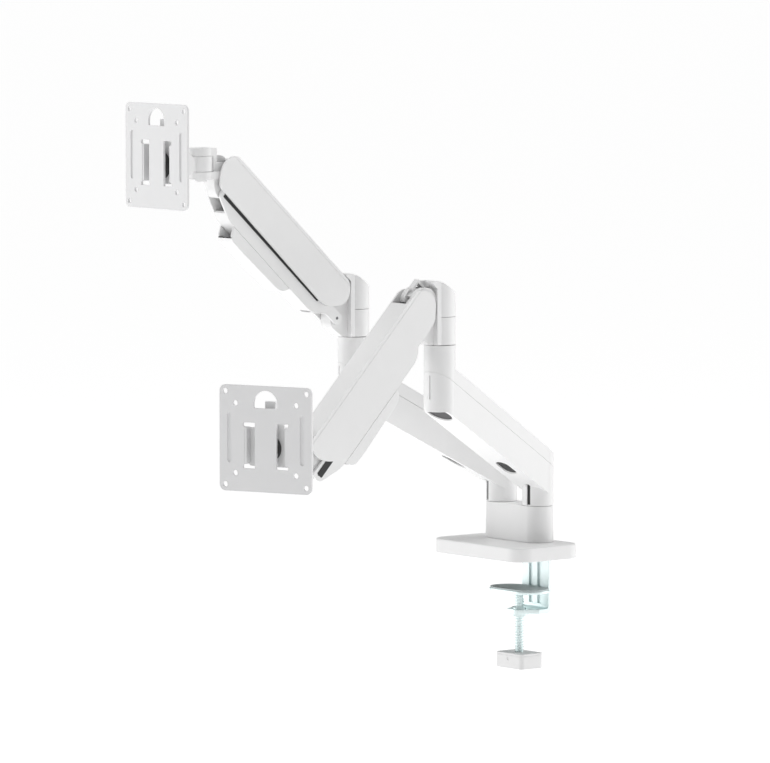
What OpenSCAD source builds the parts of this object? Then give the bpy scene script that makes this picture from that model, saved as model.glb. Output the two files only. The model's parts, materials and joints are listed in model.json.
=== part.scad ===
// Dual monitor arm on one desk clamp, mm, +Z up.
// Origin: centre of the base plate's underside. +X along the desk edge, -Y towards the user.

/* [Base and clamp] */
// base plate width along the desk edge
base_w = 157; // [120:200]
// base plate depth
base_d = 94; // [70:130]
// base plate thickness
base_t = 16; // [10:24]
// distance between the two posts
post_gap = 63; // [50:90]
// posts behind the plate's centre
post_y = 20; // [0:30]
// height of the post cover above the desk
cover_z = 57; // [40:80]
// clamped desk thickness
desk_t = 38; // [10:60]

/* [Arms] */
// radius of the upright barrels
barrel_r = 17.5; // [14:24]
// post axis to elbow axis
lower_len = 182; // [140:240]
// height of the elbow joint above the desk
elbow_z = 248; // [200:300]
// parallelogram link length
link_len = 210; // [160:260]
// elbow to upper pivot, forward
pivot_x = 30; // [24:40]
// elbow to upper pivot, up
pivot_z = 48; // [40:60]
// lower pivot from the upper one, forward
pair_x = 3; // [0:8]
// lower pivot below the upper one
pair_z = 26; // [22:30]
// upper pivot at the head to the swivel axis
swivel_x = 28; // [24:34]
// swivel axis to tilt axis
tilt_x = 29; // [26:36]
// tilt axis to the plate's front face
plate_x = 30.5; // [30:44]

/* [Screen plates] */
// plate side
plate_s = 114; // [110:120]
// plate thickness
plate_t = 2.6; // [2:4]
// large hole square
hole_a = 100; // [100]
// small hole square
hole_b = 75; // [75]
// mounting hole diameter
hole_d = 5.8; // [4.4:0.1:6]

/* [Pose shown] */
// lower arm yaw, right and left
yaw_r = 13.7; // [-30:90]
yaw_l = -14.3; // [-90:30]
// upper arm heading, right and left
head_r = 0; // [-90:90]
head_l = 0; // [-90:90]
// upper arm pitch, right and left
pitch_r = -46.6; // [-50:47]
pitch_l = 42.8; // [-50:47]
// plate heading, right and left
face_r = 21.5; // [-90:90]
face_l = -1.2; // [-90:90]

/* [Hidden] */
$fn = 96;
pin_gap = 0.05;     // running gap on a pin radius
lo_gap = 0.4;       // gap between bodies
hw = 15.5;          // half width of the housings
wall = 2.5;
post_r = 10;
shaft_r = 8;
beam_s = 0.575;     // slope of the lower arm, rise over run
top0 = 120.3;       // height of the lower arm's top line at the post
bot0 = 70;          // height of its underside line at the post
seam_drop = 16;
screw_r = 5;
rod_z = 14;         // spring rod pin above the upper pivot
face_up = 10;       // the plate's centre above the tilt and turning axes
window_z = -7.5;    // middle of the two pressed windows
pad_z = -desk_t;
lip_z = -62;
handle_z = -111;

white = [0.93, 0.93, 0.93];
grey = [0.83, 0.83, 0.84];
steel = [0.72, 0.78, 0.78];
dark = [0.12, 0.12, 0.13];
rubber = [0.2, 0.2, 0.2];

// ---- placing: s = 1 right arm, s = -1 left arm ----
function pick(s, r, l) = s > 0 ? r : l;
module at_post(s) {
  translate([s * post_gap / 2, post_y, 0]) rotate([0, 0, pick(s, yaw_r, yaw_l) - 90]) children();
}
module at_elbow(s) {
  y = pick(s, yaw_r, yaw_l);
  translate([s * post_gap / 2 + lower_len * sin(y), post_y - lower_len * cos(y), elbow_z])
    rotate([0, 0, pick(s, head_r, head_l) - 90]) children();
}
module at_upper(s) { at_elbow(s) translate([pivot_x, 0, pivot_z]) rotate([0, -pick(s, pitch_r, pitch_l), 0]) children(); }
module at_link(s) { at_elbow(s) translate([pivot_x + pair_x, 0, pivot_z - pair_z]) rotate([0, -pick(s, pitch_r, pitch_l), 0]) children(); }
module at_head(s) {
  p = pick(s, pitch_r, pitch_l);
  at_elbow(s) translate([pivot_x + link_len * cos(p), 0, pivot_z + link_len * sin(p)]) children();
}
module at_swivel(s) { at_head(s) translate([swivel_x, 0, 7.2]) rotate([0, 0, pick(s, face_r - head_r, face_l - head_l)]) children(); }
module at_plate(s) { at_swivel(s) translate([tilt_x + plate_x, 0, face_up]) children(); }

// ---- shapes ----
module slab(l, w, h, r) { linear_extrude(h) rounded(l, w, r); }
module rounded(l, w, r) {
  square([l - 2 * r, w], center = true);
  square([l, w - 2 * r], center = true);
  for (i = [-1, 1], j = [-1, 1]) translate([i * (l / 2 - r), j * (w / 2 - r)]) circle(r);
}
module capsule(l, r) { // from x = 0 to x = l
  circle(r);
  translate([l, 0]) circle(r);
  translate([0, -r]) square([l, 2 * r]);
}
module tube(ro, ri, h) { difference() { cylinder(r = ro, h = h); translate([0, 0, -1]) cylinder(r = ri, h = h + 2); } }
module side(w, y = 0) { translate([0, y + w / 2, 0]) rotate([90, 0, 0]) linear_extrude(w) children(); } // XZ outline, w wide about y
module ypin(r, w) { rotate([90, 0, 0]) cylinder(r = r, h = w, center = true); }

// ---- base ----
module base_plate() color(white) difference() {
  slab(base_w, base_d, base_t, 20);
  for (s = [-1, 1]) translate([s * post_gap / 2, post_y, 4]) cylinder(r = post_r, h = base_t);
  for (x = [-14, 14]) translate([x, base_d / 2 - 12, -1]) cylinder(r = 3, h = 13);
  translate([-23.1, base_d / 2 - 24, -1]) cube([46.2, 30, 5.3]);
  translate([0, -6, -1]) slab(base_w - 16, base_d - 24, 2.5, 14);
}
module post_cover() color(white) difference() {
  translate([-post_gap / 2, post_y, base_t]) linear_extrude(cover_z - base_t) capsule(post_gap, barrel_r + 0.3);
  translate([-post_gap / 2, post_y, base_t - 1]) linear_extrude(cover_z - base_t - 3) capsule(post_gap, barrel_r - 2.5);
  for (s = [-1, 1]) translate([s * post_gap / 2, post_y, base_t]) cylinder(r = post_r + 0.1, h = 60);
}
module base_posts() color(steel) for (s = [-1, 1]) translate([s * post_gap / 2, post_y, 4]) difference() {
  union() { cylinder(r = post_r, h = 92); translate([0, 0, base_t - 4]) cylinder(r = barrel_r - 4, h = 5); translate([0, 0, cover_z - 10]) cylinder(r = 13, h = 1.7); }
  translate([0, 0, 60]) cylinder(r = 3, h = 40);
}
module desk_pad() color(rubber) difference() {
  translate([0, -6, 0]) slab(base_w - 16.2, base_d - 24.2, 1.5, 14);
  translate([-23.2, base_d / 2 - 24.1, -3]) cube([46.4, 30, 6]);
}
module clamp_bracket() color(steel) difference() {
  union() {
    translate([-23, base_d / 2 - 23.9, 0.2]) cube([46, 22, 4]);
    difference() {
      translate([-23, base_d / 2 - 4, lip_z - 5]) cube([46, 4, 4.2 - lip_z + 5]);
      for (x = [-12, 4]) translate([x, base_d / 2 - 1.2, lip_z + 6]) cube([8, 3, -lip_z - 12]);
    }
    translate([0, 0, lip_z - 5]) linear_extrude(5) difference() {
      union() {
        translate([0, post_y]) circle(14);
        polygon([[-14, post_y], [14, post_y], [23, post_y + 12], [23, base_d / 2 - 2], [-23, base_d / 2 - 2], [-23, post_y + 12]]);
      }
      translate([0, post_y]) circle(7.5);
    }
  }
  for (x = [-14, 14]) translate([x, base_d / 2 - 12, -5]) { cylinder(r = 3.1, h = 12); cylinder(r = 5.4, h = 7.8); }
}
module bracket_screws() color(steel) for (x = [-14, 14]) translate([x, base_d / 2 - 12, 0]) difference() {
  union() { translate([0, 0, 0.4]) cylinder(r = 5.2, h = 2.4); translate([0, 0, 2.7]) cylinder(r = 2.95, h = 8.8); }
  translate([0, 0, -1]) cylinder(r = 2.4, h = 3, $fn = 6);
}
module clamp_nut() color(steel) translate([0, post_y, lip_z - 8]) difference() {
  union() { cylinder(r = 10.5, h = 3); cylinder(r = 7.45, h = 9.5); }
  translate([0, 0, -1]) cylinder(r = screw_r + pin_gap, h = 16);
}
module clamp_screw() color(steel) translate([0, post_y, 0]) {
  translate([0, 0, handle_z - 10]) cylinder(r = screw_r, h = pad_z - 7 - handle_z + 10);
  translate([0, 0, pad_z - 7]) cylinder(r = 3.4, h = 2.6);
}
module clamp_pad() color(steel) translate([0, post_y, 0]) difference() {
  union() {
    translate([-17, 0, pad_z - 4.5]) linear_extrude(3) capsule(34, 22.6);
    translate([0, 0, pad_z - 8.5]) cylinder(r = 9, h = 5);
  }
  translate([0, 0, pad_z - 10]) cylinder(r = 3.45, h = 5.8);
  translate([0, 0, pad_z - 10]) cylinder(r = screw_r + 0.05, h = 3.1);
}
module clamp_pad_rubber() color(rubber) translate([-17, post_y, pad_z - 1.5]) linear_extrude(1.5) capsule(34, 21.8);
module clamp_handle() color(white) translate([0, post_y, handle_z - 17]) difference() {
  slab(46, 33, 17, 5);
  translate([0, 0, 6.5]) cylinder(r = screw_r, h = 20);
  translate([0, 0, -1]) slab(38, 25, 5, 3);
  translate([0, -20, 11]) rotate([-90, 0, 0]) cylinder(r = 2, h = 40);
}
module handle_pin() color(steel) translate([0, post_y - 15.8, handle_z - 6]) rotate([-90, 0, 0]) {
  cylinder(r = 2, h = 10.7); translate([0, 0, 20.9]) cylinder(r = 2, h = 10.7);
}

// ---- lower arm: base barrel, rising box beam, elbow barrel ----
function top_at(x) = top0 + beam_s * x;
function bot_at(x) = bot0 + 0.555 * x;
module beam_plan(d = 0) { capsule(lower_len, barrel_r - d); }
module arm_solid() {
  intersection() {
    linear_extrude(300) beam_plan();
    side(60) polygon([[-30, top_at(-30)], [lower_len + 30, top_at(lower_len + 30)], [lower_len + 30, bot_at(lower_len + 30)], [-30, bot_at(-30)]]);
  }
  translate([0, 0, cover_z + lo_gap]) cylinder(r = barrel_r, h = 45);
  translate([lower_len, 0, bot_at(lower_len) + 12]) cylinder(r = barrel_r, h = elbow_z - lo_gap - bot_at(lower_len) - 12);
}
module cover_zone(up) { // strip above the side seam, from the rear to the elbow barrel
  side(60) polygon([[-40, top_at(-40) - seam_drop + up], [lower_len - 16, top_at(lower_len - 16) - seam_drop + up],
    [lower_len - 16, top_at(lower_len - 16) + 40], [-40, top_at(-40) + 90]]);
}
module lower_arm(s) color(white) at_post(s) difference() {
  arm_solid();
  cover_zone(0);
  // cable channel and weight-saving hollow
  intersection() {
    linear_extrude(300) difference() { beam_plan(3.2); circle(17); translate([lower_len, 0]) circle(17); }
    side(60) polygon([[-30, 200], [lower_len, 400], [lower_len, bot_at(lower_len) + 3], [-30, bot_at(-30) + 3]]);
    side(60) polygon([[0, 0], [lower_len - 17.2, 0], [lower_len - 17.2, 400], [0, 400]]);
  }
  translate([58, 0, 60]) linear_extrude(60) rotate(0) translate([-8, 0]) capsule(16, 9);
  // post bore, bush seats
  translate([0, 0, cover_z - 1]) cylinder(r = 13, h = 9.4);
  translate([0, 0, cover_z]) cylinder(r = post_r + 1, h = 47);
  translate([0, 0, 86]) cylinder(r = 13, h = 14);
  // elbow bore, open from below
  translate([lower_len, 0, 150]) cylinder(r = shaft_r + 1, h = 120);
  translate([lower_len, 0, elbow_z - 12]) cylinder(r = 11, h = 20);
  translate([lower_len, 0, 150]) cylinder(r = 14, h = 56);
}
module lower_cover(s) color(white) at_post(s) difference() {
  intersection() { arm_solid(); cover_zone(0.1); }
  intersection() {
    linear_extrude(300) beam_plan(3);
    side(60) polygon([[-40, 0], [lower_len - 19, 0], [lower_len - 19, top_at(lower_len - 19) - 3], [-40, top_at(-40) - 3]]);
  }
}
module base_bushes(s) color(dark) at_post(s) {
  translate([0, 0, cover_z + 1]) tube(13, post_r + pin_gap, 7.4);
  translate([0, 0, 86]) tube(13, post_r + pin_gap, 8);
}
module post_cap(s) color(steel) at_post(s) translate([0, 0, 96.2]) {
  cylinder(r = 12.5, h = 2.4);
  cylinder(r = 5, h = 5, $fn = 6);
}
module elbow_bushes(s) color(dark) at_post(s) translate([lower_len, 0, 0]) {
  translate([0, 0, elbow_z - 12]) tube(11, shaft_r + pin_gap, 11.5);
  translate([0, 0, 196]) tube(14, shaft_r + pin_gap, 10);
  difference() { // plug in the foot of the elbow barrel
    translate([0, 0, 150]) cylinder(r = 13.92, h = 38);
    side(60) polygon([[-20, 140], [20, 140], [20, bot_at(lower_len + 20) + 1.5], [-20, bot_at(lower_len - 20) + 1.5]]);
  }
}

// ---- elbow: swivel bracket carrying the two link pivots ----
module elbow_bracket(s) color(white) at_elbow(s) difference() {
  union() {
    translate([0, 0, lo_gap]) cylinder(r = barrel_r, h = 30);
    translate([10, -hw, lo_gap]) cube([5.7, 2 * hw, 69.6]);
    side(17) polygon([[0, lo_gap], [22, lo_gap], [38, 12], [40, 20], [39, pivot_z], [0, pivot_z]]);
    side(24.8) intersection() { translate([pivot_x, pivot_z]) circle(15.8); translate([0, pivot_z]) square([60, 30]); }
    side(2 * hw) polygon([[15, 62.5], [15.7, 62.5], [21.4, 67.3], [24.3, lo_gap + 69.6], [15, lo_gap + 69.6]]);
    translate([0, 0, lo_gap]) intersection() { cylinder(r = barrel_r, h = 60); translate([0, -30, 0]) cube([10.5, 60, 60]); }
  }
  translate([0, 0, -1]) cylinder(r = shaft_r, h = 41);
  translate([pivot_x, 0, pivot_z]) ypin(4, 40);
  translate([pivot_x + pair_x, 0, pivot_z - pair_z]) ypin(3.5, 40);
  // slot for the spring rod
  side(8.8) polygon([[17, pivot_z + 4.6], [32, pivot_z + 4.6], [33.8, pivot_z - 0.6], [41, pivot_z - 9.4], [60, pivot_z - 9.4], [60, 90], [17, 90]]);
  translate([pivot_x, 0, pivot_z + rod_z]) ypin(2, 40);
}
module elbow_shaft(s) color(steel) at_elbow(s) difference() {
  union() { translate([0, 0, 192 - elbow_z]) cylinder(r = shaft_r, h = elbow_z - 192 + 39); translate([0, 0, 190.5 - elbow_z]) cylinder(r = 12.5, h = 4.5); }
  translate([0, 0, 185 - elbow_z]) cylinder(r = 4, h = 9, $fn = 6);
}
module elbow_cover(s) color(white) at_elbow(s) difference() {
  intersection() {
    translate([0, 0, 30.6]) cylinder(r = barrel_r, h = 40);
    side(60) polygon([[-30, 30.5], [9.9, 30.5], [9.9, 68], [4, 66.5], [-30, 44]]);
  }
  intersection() { translate([0, 0, 20]) cylinder(r = barrel_r - 2.5, h = 60); side(60) polygon([[-30, 0], [-0.1, 0], [-0.1, 60], [-30, 41]]); }
  translate([-0.1, -30, 20]) cube([12, 60, 40.5]);
  side(17.2) polygon([[-0.1, 20], [12, 20], [12, 66.1], [-0.1, 66.1]]);
}
module link_pins(s) color(steel) at_elbow(s) {
  translate([pivot_x, 0, pivot_z]) ypin(4, 2 * hw - 1.6);
  translate([pivot_x + pair_x, 0, pivot_z - pair_z]) { ypin(3.5, 23.2); ypin(1.6, 24.6); }
  translate([pivot_x, 0, pivot_z + rod_z]) ypin(2, 16.8);
}

// ---- upper arm ----
module arm_side() { // outline of the housing's side walls, upper pivot at 0,0
  difference() {
    union() {
      circle(14);
      polygon([[0, 19], [link_len + 3, 19], [link_len + 9, 15], [link_len + 11, 8], [link_len + 11, 0],
        [link_len + 3, -18], [link_len - 3, -22], [16, -24], [9, -23], [0, -14]]);
    }
  }
}
module upper_arm(s) color(white) at_upper(s) difference() {
  side(2 * hw) arm_side();
  side(2 * hw - 2 * wall) polygon([[-20, 16.2], [link_len - 4, 16.2], [link_len - 4, 30], [link_len + 30, 30], [link_len + 30, -40], [-20, -40]]);
  side(2 * hw - 2 * wall) polygon([[-20, -40], [-20, 30], [18.5, 30], [18.5, -40]]);
  ypin(4 + pin_gap, 2 * hw - 1.4);
  translate([link_len, 0, 0]) ypin(4 + pin_gap, 2 * hw - 1.4);
  translate([195, 0, 7.4]) ypin(2.5, 26.6);
}
module link_wall() { // outline of the link's side walls, lower pivot at 0,0
  circle(6.5);
  translate([link_len, 0]) circle(6.5);
  polygon([[0, 6.5], [link_len, 6.5], [link_len, -6.5], [link_len - 7, -12], [link_len - 25, -19], [34, -19], [26, -16], [20, -6.5], [0, -6.5]]);
}
module lower_link(s) color(white) at_link(s) difference() {
  side(24.8) link_wall();
  side(18.6) polygon([[-20, 30], [-20, -30], [30, -30], [34, -16.5], [link_len - 25, -16.5], [link_len - 15, -12], [link_len - 14, -30], [link_len + 20, -30], [link_len + 20, 30]]);
  for (x = [0, link_len]) translate([x, 0, 0]) { ypin(3.5 + pin_gap, 23.4); ypin(1.6 + pin_gap, 40); }
}
module cover_shape(d) {
  polygon([[72 + d, -19.1], [78 + d, -28 + d], [86 + d, -30.5 + d], [150, -32.5 + d], [172 + 9 * d, -32 + d], [178 + 9 * d, -19.1]]);
}
module cable_cover(s) color(white) at_link(s) difference() {
  side(25) cover_shape(0);
  side(20.4) polygon([[76, -18], [80, -26], [87, -28.3], [150, -30.2], [190, -30.2], [190, -18]]);
}
module spring_tube(s) color(dark) at_upper(s) difference() {
  union() {
    translate([62, 0, 7.4]) rotate([0, 90, 0]) cylinder(r = 8.6, h = 124);
    translate([184, -4, 1.4]) cube([16, 8, 12]);
  }
  translate([58, 0, 7.4]) rotate([0, 90, 0]) cylinder(r = 4 + pin_gap, h = 112);
  translate([195, 0, 7.4]) ypin(2.5, 26.6);
}
module spring_rod(s) color(steel) at_upper(s) {
  x0 = rod_z * sin(pick(s, pitch_r, pitch_l));
  difference() {
    union() {
      translate([x0 + 13.9, 0, 7.4]) rotate([0, 90, 0]) cylinder(r = 4, h = 111.5);
      translate([x0 - 6, -3.8, 5.6]) cube([13, 7.6, 13]);
      translate([x0 + 6, -3.8, 5.6]) cube([8, 7.6, 8.2]);
    }
    side(20) translate([x0 - 2.9, 6.7]) square([5.8, 9.8]);
  }
}

// ---- head ----
module head_bracket(s) color(white) at_head(s) difference() {
  union() {
    side(17) polygon([[-7, -4], [-5, 6], [0, 8], [14, 8], [14, -9.6], [14, -22], [9, -31], [-2, -31], [-6, -24]]);
    translate([swivel_x, 0, -9.6]) cylinder(r = 13, h = 8.2);
    translate([swivel_x, 0, 15.9]) cylinder(r = 13, h = 8.4);
    translate([10, -12, -9.6]) cube([swivel_x - 10, 24, 8.2]);
    translate([16, -12, 15.9]) cube([swivel_x - 16, 24, 8.4]);
    translate([13.4, -8.5, -9]) cube([5, 17, 32]);
    translate([16, -12, -2]) difference() { cube([4, 24, 20]); }
  }
  translate([swivel_x, 0, -1.4]) cylinder(r = 13.4, h = 17.3);
  translate([swivel_x, 0, -20]) cylinder(r = 4, h = 43.5);
  ypin(4, 40);
  translate([pair_x, 0, -pair_z]) ypin(3.5, 40);
}
module head_pins(s) color(steel) at_head(s) { ypin(4, 2 * hw - 1.6); translate([pair_x, 0, -pair_z]) { ypin(3.5, 23.2); ypin(1.6, 24.6); } }
module swivel_pin(s) color(white) at_swivel(s) difference() {
  union() { translate([0, 0, -17.5]) cylinder(r = 3.95, h = 33.7); translate([0, 0, -19.4]) cylinder(r = 6.5, h = 2.5); }
  translate([0, 0, -20]) cylinder(r = 3, h = 3, $fn = 6);
}
module swivel_knuckle(s) color(white) at_swivel(s) difference() {
  union() {
    translate([0, 0, -8.2]) cylinder(r = 13, h = 16.6);
    translate([0, -7, -8.2]) cube([tilt_x - 9, 14, 16.6]);
    translate([tilt_x, 0, 0]) ypin(11, 14);
  }
  translate([0, 0, -20]) cylinder(r = 3.95 + pin_gap, h = 60);
  translate([tilt_x, 0, 0]) ypin(4 + pin_gap, 60);
}
module tilt_bracket(s) color(white) at_swivel(s) difference() {
  union() {
    for (y = [-1, 1]) translate([tilt_x, y * 9.3, 0]) { ypin(13, 4); translate([0, -2, -9]) cube([17, 4, 20]); }
    translate([tilt_x + 11.6, -11.3, -9]) cube([5.4, 22.6, 20]);
    translate([tilt_x + plate_x - 17, 0, 0]) rotate([0, 90, 0]) cylinder(r = 14.5, h = 6);
    translate([tilt_x + plate_x - 17, -6, 0]) cube([6, 12, 40]);
    difference() {
      translate([tilt_x + plate_x - 11.1, -26, window_z + face_up - 22.5]) cube([2.1, 52, 46.5]);
      for (y = [-26.1, 18]) translate([tilt_x + plate_x - 14, y, window_z + face_up + 19]) cube([8, 8.1, 8]);
    }
  }
  translate([tilt_x, 0, 0]) ypin(4, 60);
  translate([tilt_x + 11.5, 0, 0]) rotate([0, 90, 0]) cylinder(r = 5 + pin_gap, h = 20);
  translate([tilt_x + plate_x - 13.5, 0, 33]) cylinder(r = 2 + pin_gap, h = 10);
}
module tilt_bolt(s) color(steel) at_swivel(s) translate([tilt_x, 0, 0]) difference() {
  union() { ypin(3.95, 28); translate([0, -12.6, 0]) ypin(6.5, 2.4); translate([0, 12.6, 0]) ypin(6.5, 2.4); }
  translate([0, 13.4, 0]) rotate([90, 0, 0]) cylinder(r = 2.5, h = 4, center = true, $fn = 6);
}
module plate_outline() { // Y across, Z up, drawn as X, Y
  difference() {
    rounded(plate_s, plate_s, 7);
    for (h = [hole_a, hole_b], i = [-1, 1], j = [-1, 1]) translate([i * h / 2, j * h / 2]) circle(d = hole_d);
    translate([0, 37]) difference() { circle(14.8); translate([-20, -24]) square([40, 20]); }
    for (i = [-1, 1]) translate([i * 19.7, window_z]) {
      square([12.8, 49], center = true);
      for (j = [-1, 1]) translate([i * 6, j * 22.5]) square([4.4, 4], center = true);
    }
  }
}
module flat(t) { rotate([90, 0, 90]) linear_extrude(t) children(); } // XY outline to the YZ plane
module vesa_plate(s) color(grey) at_plate(s) difference() {
  union() {
    translate([-plate_t, 0, 0]) flat(plate_t) plate_outline();
    for (i = [-1, 1]) translate([-8, i * 24.9 - plate_t / 2, window_z - 20.4]) cube([8, plate_t, 40.8]);
  }
  for (i = [-1, 1]) translate([-1.4, i * 45, 0.5]) flat(3) rotate(90) translate([-24, 0]) capsule(48, 3.4);
}
module friction_disc(s) color(dark) at_plate(s) translate([-plate_t - 6.2, 0, -face_up]) rotate([0, 90, 0]) {
  cylinder(r = 14.5, h = 6.1);
  translate([0, 0, -8.2]) cylinder(r = 5, h = 8.3);
}
module lock_screw(s) color(grey) at_plate(s) translate([-13.5, 0, 40.1 - face_up]) {
  slab(8, 13, 9.5, 1);
  translate([0, 0, -6]) cylinder(r = 2, h = 7);
}

// ---- the two arms ----
module r_lower_arm() lower_arm(1);
module r_lower_cover() lower_cover(1);
module r_base_bushes() base_bushes(1);
module r_post_cap() post_cap(1);
module r_elbow_bracket() elbow_bracket(1);
module r_elbow_shaft() elbow_shaft(1);
module r_elbow_cover() elbow_cover(1);
module r_elbow_bushes() elbow_bushes(1);
module r_link_pins() link_pins(1);
module r_upper_arm() upper_arm(1);
module r_lower_link() lower_link(1);
module r_cable_cover() cable_cover(1);
module r_spring_tube() spring_tube(1);
module r_spring_rod() spring_rod(1);
module r_head_bracket() head_bracket(1);
module r_head_pins() head_pins(1);
module r_swivel_knuckle() swivel_knuckle(1);
module r_swivel_pin() swivel_pin(1);
module r_tilt_bracket() tilt_bracket(1);
module r_tilt_bolt() tilt_bolt(1);
module r_vesa_plate() vesa_plate(1);
module r_friction_disc() friction_disc(1);
module r_lock_screw() lock_screw(1);
module l_lower_arm() lower_arm(-1);
module l_lower_cover() lower_cover(-1);
module l_base_bushes() base_bushes(-1);
module l_post_cap() post_cap(-1);
module l_elbow_bracket() elbow_bracket(-1);
module l_elbow_shaft() elbow_shaft(-1);
module l_elbow_cover() elbow_cover(-1);
module l_elbow_bushes() elbow_bushes(-1);
module l_link_pins() link_pins(-1);
module l_upper_arm() upper_arm(-1);
module l_lower_link() lower_link(-1);
module l_cable_cover() cable_cover(-1);
module l_spring_tube() spring_tube(-1);
module l_spring_rod() spring_rod(-1);
module l_head_bracket() head_bracket(-1);
module l_head_pins() head_pins(-1);
module l_swivel_knuckle() swivel_knuckle(-1);
module l_swivel_pin() swivel_pin(-1);
module l_tilt_bracket() tilt_bracket(-1);
module l_tilt_bolt() tilt_bolt(-1);
module l_vesa_plate() vesa_plate(-1);
module l_friction_disc() friction_disc(-1);
module l_lock_screw() lock_screw(-1);

base_plate();
post_cover();
base_posts();
desk_pad();
clamp_bracket();
bracket_screws();
clamp_nut();
clamp_pad();
clamp_pad_rubber();
clamp_screw();
clamp_handle();
handle_pin();
r_lower_arm();
r_lower_cover();
r_base_bushes();
r_post_cap();
r_elbow_bracket();
r_elbow_shaft();
r_elbow_cover();
r_elbow_bushes();
r_link_pins();
r_upper_arm();
r_lower_link();
r_cable_cover();
r_spring_tube();
r_spring_rod();
r_head_bracket();
r_head_pins();
r_swivel_knuckle();
r_swivel_pin();
r_tilt_bracket();
r_tilt_bolt();
r_vesa_plate();
r_friction_disc();
r_lock_screw();
l_lower_arm();
l_lower_cover();
l_base_bushes();
l_post_cap();
l_elbow_bracket();
l_elbow_shaft();
l_elbow_cover();
l_elbow_bushes();
l_link_pins();
l_upper_arm();
l_lower_link();
l_cable_cover();
l_spring_tube();
l_spring_rod();
l_head_bracket();
l_head_pins();
l_swivel_knuckle();
l_swivel_pin();
l_tilt_bracket();
l_tilt_bolt();
l_vesa_plate();
l_friction_disc();
l_lock_screw();
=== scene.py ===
"""Dual monitor arm on a desk clamp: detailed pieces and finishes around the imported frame."""
import json
import math

import bmesh
import bpy
from mathutils import Matrix, Vector


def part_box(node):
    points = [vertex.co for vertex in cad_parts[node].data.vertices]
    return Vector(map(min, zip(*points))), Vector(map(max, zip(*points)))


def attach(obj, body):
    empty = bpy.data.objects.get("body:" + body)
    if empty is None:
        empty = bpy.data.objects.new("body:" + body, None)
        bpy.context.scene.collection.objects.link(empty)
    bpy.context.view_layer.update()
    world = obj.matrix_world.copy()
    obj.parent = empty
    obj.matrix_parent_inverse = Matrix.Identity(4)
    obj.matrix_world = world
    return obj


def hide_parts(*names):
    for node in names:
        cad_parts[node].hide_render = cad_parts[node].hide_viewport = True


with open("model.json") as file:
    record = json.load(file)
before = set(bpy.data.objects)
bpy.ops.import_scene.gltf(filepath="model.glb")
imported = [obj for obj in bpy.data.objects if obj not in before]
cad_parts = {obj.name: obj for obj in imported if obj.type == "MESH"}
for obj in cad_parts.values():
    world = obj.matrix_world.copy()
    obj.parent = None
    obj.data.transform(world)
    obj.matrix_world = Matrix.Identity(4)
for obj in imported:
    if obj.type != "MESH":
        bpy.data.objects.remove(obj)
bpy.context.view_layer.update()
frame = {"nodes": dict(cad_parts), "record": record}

bl_info = {
    "name": "Dual monitor arm",
    "version": (1, 0, 0),
    "blender": (4, 5, 0),
    "location": "View3D > Sidebar > Monitor arm",
    "description": "Builds the moulded and pressed pieces of a dual monitor arm around its frame",
    "category": "Object",
}

MM = 0.001
UP = Vector((0, 0, 1))
NODES = frame["nodes"]
JOINTS = {j["name"]: j for j in frame["record"]["behaviour"]["joints"]}


# ---------------------------------------------------------------- places, read from the frame
def joint_at(name):
    return Vector(JOINTS[name]["pos_m"])


def axes(origin, forward, up=UP):
    """A frame with x forward, z up and y to the arm's camera side."""
    x = forward.normalized()
    y = up.cross(x).normalized()
    z = x.cross(y)
    turn = Matrix((x, y, z)).transposed().to_4x4()
    return Matrix.Translation(origin) @ turn


def level(v):
    return Vector((v.x, v.y, 0)).normalized()


def arm_frames(side):
    post, elbow = joint_at(f"{side}_base_yaw"), joint_at(f"{side}_elbow_yaw")
    post.z = 0
    lift, head = joint_at(f"{side}_lift"), joint_at(f"{side}_head_level")
    link = joint_at(f"{side}_link_swing")
    swivel, tilt, roll = (joint_at(f"{side}_{n}") for n in ("swivel", "tilt", "roll"))
    heading = level(head - lift)
    return {
        "post": axes(post, level(elbow - post)),
        "elbow": axes(elbow, heading),
        "upper": axes(lift, head - lift, UP),
        "link": axes(link, head - lift, UP),
        "head": axes(head, heading),
        "swivel": axes(swivel, level(tilt - swivel)),
        "plate": axes(roll, level(tilt - swivel)),
        "reach": level(elbow - post).dot(elbow - post) / MM,
        "link_length": (head - lift).length / MM,
        "reach_plate": (roll - tilt).length / MM,
    }


# ---------------------------------------------------------------- hand tools
def select_none():
    if bpy.context.object and bpy.context.object.mode != "OBJECT":
        bpy.ops.object.mode_set(mode="OBJECT")
    bpy.ops.object.select_all(action="DESELECT")


def take(obj):
    select_none()
    bpy.context.view_layer.objects.active = obj
    obj.select_set(True)
    return obj


def pick(obj, wanted, kind="verts"):
    """Selects the vertices, edges or faces that wanted(element) accepts, in edit mode."""
    bpy.ops.mesh.select_mode(type={"verts": "VERT", "edges": "EDGE", "faces": "FACE"}[kind])
    bpy.ops.mesh.select_all(action="DESELECT")
    mesh = bmesh.from_edit_mesh(obj.data)
    count = 0
    for element in getattr(mesh, kind):
        if wanted(element):
            element.select_set(True)
            count += 1
    mesh.select_flush_mode()
    bmesh.update_edit_mesh(obj.data)
    return count


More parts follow.
